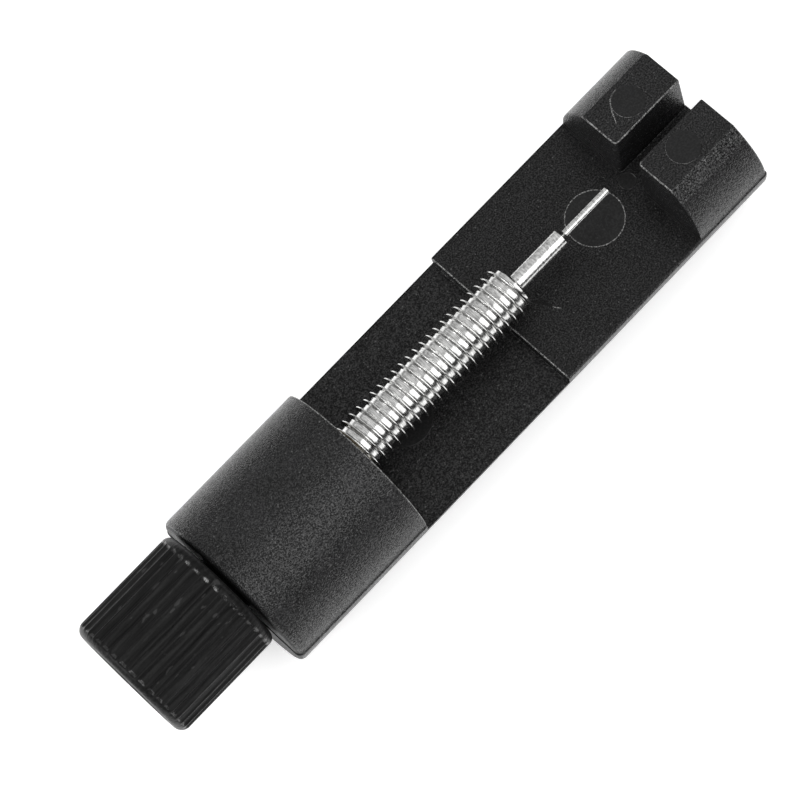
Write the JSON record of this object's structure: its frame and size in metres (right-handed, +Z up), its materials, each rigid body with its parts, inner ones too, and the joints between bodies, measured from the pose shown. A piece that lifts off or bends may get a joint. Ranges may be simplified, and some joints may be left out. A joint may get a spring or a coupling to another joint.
{
  "type": "watch band link pin remover",
  "caption": "Round black plastic body with a screw-driven push pin, a fluted thumb knob, a stepped bed and slotted anvil posts that back up a watch-band link.",
  "frame": {"origin": "middle of the base, below the centre of the whole tool with the screw at its pictured position", "axes": "+X along the feed screw from the knob towards the anvil posts, +Z up from the base, +Y to the left when looking along +X"},
  "size_m": [0.082, 0.0194, 0.0198],
  "materials": {
    "body_plastic": "black moulding with a fine spark-eroded grain",
    "knob_plastic": "black satin moulding, smoother than the body",
    "plated_steel": "bright plated rolled thread",
    "pin_steel": "turned, fine rings round the shank",
    "insert_brass": "turned, dull"
  },
  "bodies": {
    "frame_body": {"tool_body": "body_plastic", "threaded_insert": "insert_brass"},
    "pusher": {"push_pin": "pin_steel"},
    "spindle": {"feed_screw": "plated_steel", "thumb_knob": "knob_plastic"}
  },
  "joints": [
    {"name": "screw_feed", "type": "slide", "parent": "frame_body", "child": "pusher", "axis": [1, 0, 0], "range_m": [-0.0301, 0.00025]},
    {"name": "screw_turn", "type": "hinge", "parent": "pusher", "child": "spindle", "pos_m": [0, 0, 0.0125], "axis": [1, 0, 0], "range_deg": [-10800, 60]}
  ],
  "couplings": [
    {"joint": "screw_feed", "follows": "screw_turn", "m_per_rad": 0.00015915}
  ]
}
